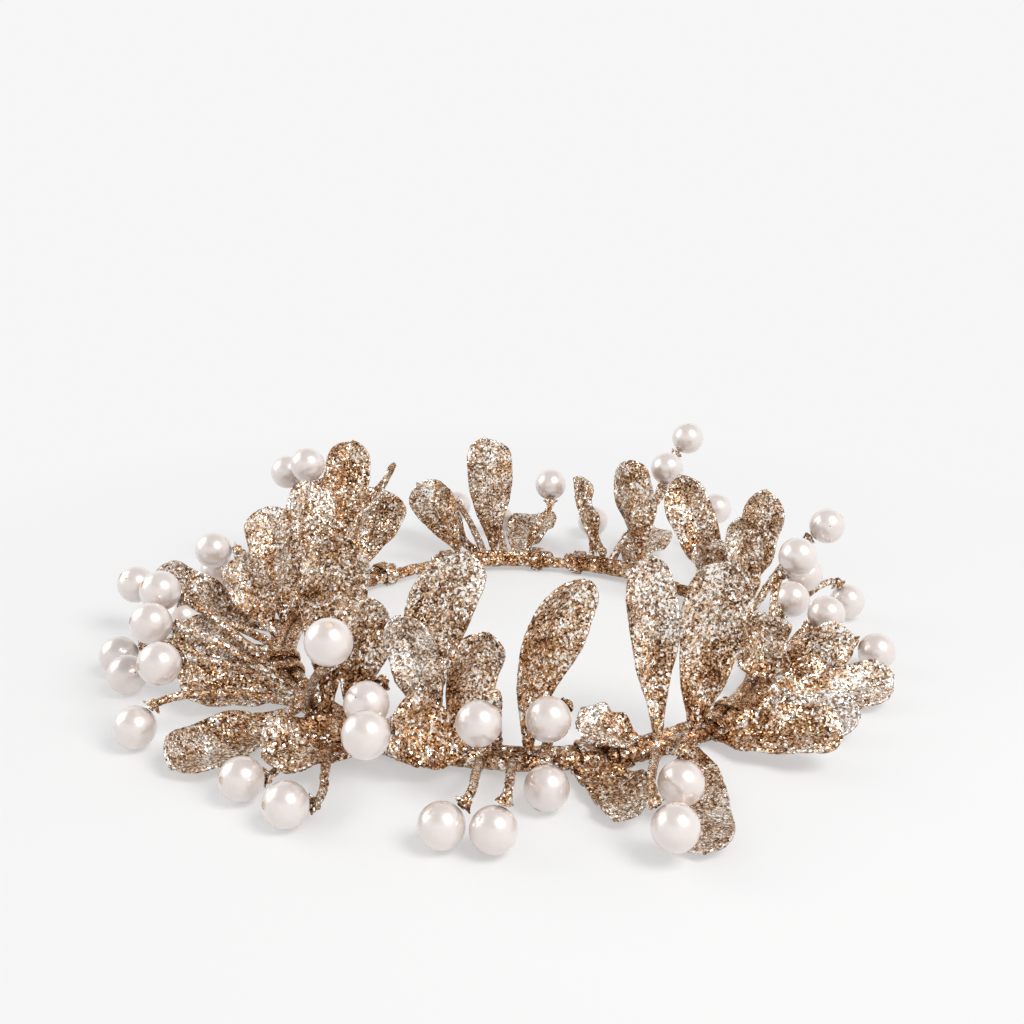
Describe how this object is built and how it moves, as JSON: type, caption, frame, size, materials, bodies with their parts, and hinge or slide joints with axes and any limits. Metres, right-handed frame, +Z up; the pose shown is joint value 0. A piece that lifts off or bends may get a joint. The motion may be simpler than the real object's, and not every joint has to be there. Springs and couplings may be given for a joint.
{
  "type": "candle ring",
  "caption": "Ring of glittered leaves and pearl berries on a wire hoop that lies on a table round a pillar candle.",
  "frame": {"origin": "on the table plane, at the centre of the hoop, which is the axis of the candle", "axes": "+Z is up and square to the table, -Y is the side of the ring that faces the viewer, +X is to the right of the viewer"},
  "size_m": [0.2094, 0.2073, 0.0455],
  "materials": {
    "hoop_steel": "drawn steel wire, hidden in the sleeve",
    "glitter_sleeve": "champagne gold glitter on a wrapped sleeve",
    "glitter_stem": "champagne gold glitter on wrapped vine",
    "binding_tape": "glittered binding tape",
    "glitter_leaf": "coarse champagne gold glitter on thin foam",
    "glitter_twig": "champagne gold glitter on coated wire",
    "pearl": "warm white pearl lacquer"
  },
  "bodies": {
    "root": {"back_leaves": "glitter_leaf", "back_left_leaves": "glitter_leaf", "back_left_pearls": "pearl", "back_left_stem": "glitter_stem", "back_left_tapes": "binding_tape", "back_left_twigs": "glitter_twig", "back_pearls": "pearl", "back_right_leaves": "glitter_leaf", "back_right_pearls": "pearl", "back_right_stem": "glitter_stem", "back_right_tapes": "binding_tape", "back_right_twigs": "glitter_twig", "back_stem": "glitter_stem", "back_tapes": "binding_tape", "back_twigs": "glitter_twig", "front_leaves": "glitter_leaf", "front_left_leaves": "glitter_leaf", "front_left_pearls": "pearl", "front_left_stem": "glitter_stem", "front_left_tapes": "binding_tape", "front_left_twigs": "glitter_twig", "front_pearls": "pearl", "front_right_leaves": "glitter_leaf", "front_right_pearls": "pearl", "front_right_stem": "glitter_stem", "front_right_tapes": "binding_tape", "front_right_twigs": "glitter_twig", "front_stem": "glitter_stem", "front_tapes": "binding_tape", "front_twigs": "glitter_twig", "hoop_sleeve": "glitter_sleeve", "hoop_wire": "hoop_steel", "left_leaves": "glitter_leaf", "left_pearls": "pearl", "left_stem": "glitter_stem", "left_tapes": "binding_tape", "left_twigs": "glitter_twig", "right_back_leaves": "glitter_leaf", "right_back_pearls": "pearl", "right_back_stem": "glitter_stem", "right_back_tapes": "binding_tape", "right_back_twigs": "glitter_twig", "right_front_leaves": "glitter_leaf", "right_front_pearls": "pearl", "right_front_stem": "glitter_stem", "right_front_tapes": "binding_tape", "right_front_twigs": "glitter_twig"}
  },
  "joints": []
}
